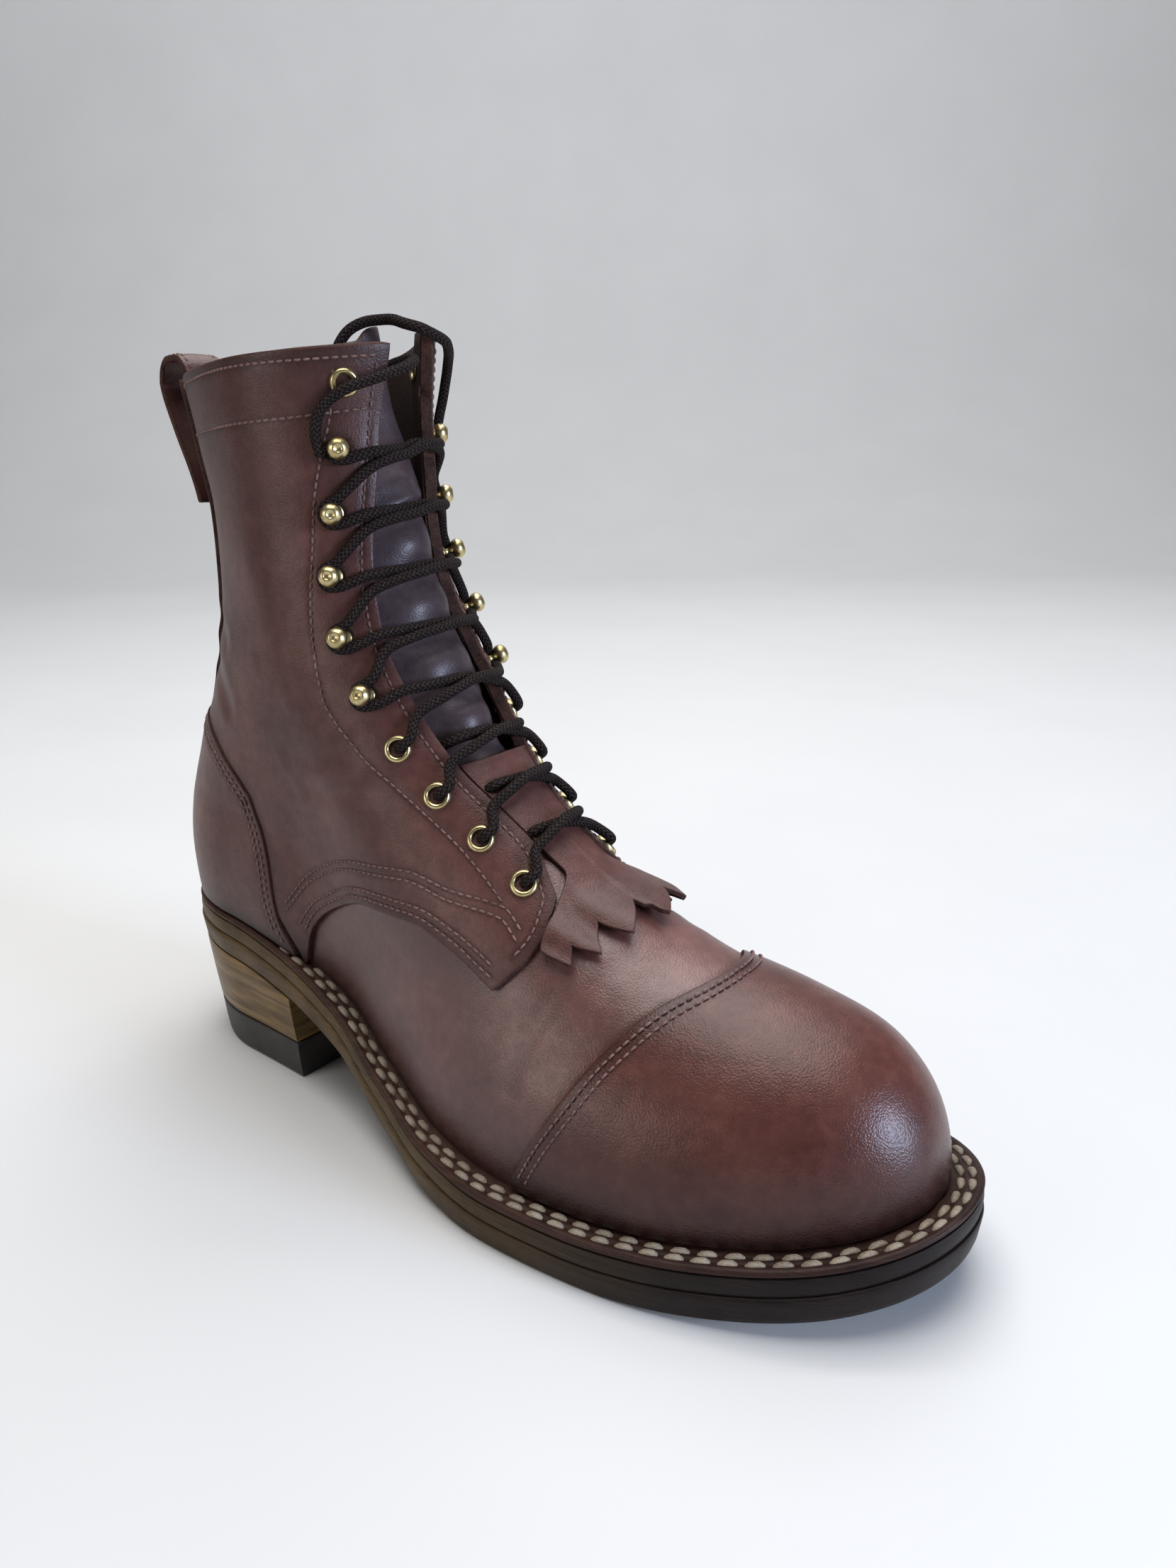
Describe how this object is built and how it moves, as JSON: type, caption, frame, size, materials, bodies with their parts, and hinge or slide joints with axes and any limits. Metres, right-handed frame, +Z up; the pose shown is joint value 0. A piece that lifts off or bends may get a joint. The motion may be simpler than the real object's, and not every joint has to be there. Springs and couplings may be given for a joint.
{
  "type": "packer boot",
  "caption": "Right lace-up packer boot with hollow leather upper, toe cap, heel counter, sawtooth kiltie, brass eyelets and speed hooks, stitched flange and stacked heel.",
  "frame": {"origin": "middle of the sole's footprint, on the floor", "axes": "+X from heel to toe, +Y to the inner side of the foot, +Z up"},
  "size_m": [0.315, 0.1149, 0.2629],
  "materials": {
    "leather": "smooth pull-up leather with fine grain",
    "dark_leather": "dark smooth tongue leather",
    "insole_leather": "bare insole leather",
    "sole_edge": "dark burnished sole edge",
    "heel_leather": "burnished stacked leather",
    "rubber": "matt rubber",
    "brass": "polished",
    "lace": "round braid"
  },
  "bodies": {
    "root": {"upper": "leather", "quarter_outer_side": "leather", "quarter_inner_side": "leather", "toe_cap": "leather", "heel_counter": "leather", "back_strip": "leather", "pull_loop": "leather", "kiltie": "leather", "tongue": "dark_leather", "insole": "insole_leather", "welt": "sole_edge", "midsole": "sole_edge", "outsole": "sole_edge", "heel_stack": "heel_leather", "heel_toplift": "rubber", "eyelet_outer_1": "brass", "eyelet_outer_2": "brass", "eyelet_outer_3": "brass", "eyelet_outer_4": "brass", "hook_outer_5": "brass", "hook_outer_6": "brass", "hook_outer_7": "brass", "hook_outer_8": "brass", "hook_outer_9": "brass", "eyelet_outer_10": "brass", "eyelet_inner_1": "brass", "eyelet_inner_2": "brass", "eyelet_inner_3": "brass", "eyelet_inner_4": "brass", "hook_inner_5": "brass", "hook_inner_6": "brass", "hook_inner_7": "brass", "hook_inner_8": "brass", "hook_inner_9": "brass", "eyelet_inner_10": "brass", "lace_cross_1": "lace", "lace_cross_2": "lace", "lace_cross_3": "lace", "lace_cross_4": "lace", "lace_cross_5": "lace", "lace_cross_6": "lace", "lace_cross_7": "lace", "lace_cross_8": "lace", "lace_end_outer": "lace", "lace_end_inner": "lace"}
  },
  "joints": []
}
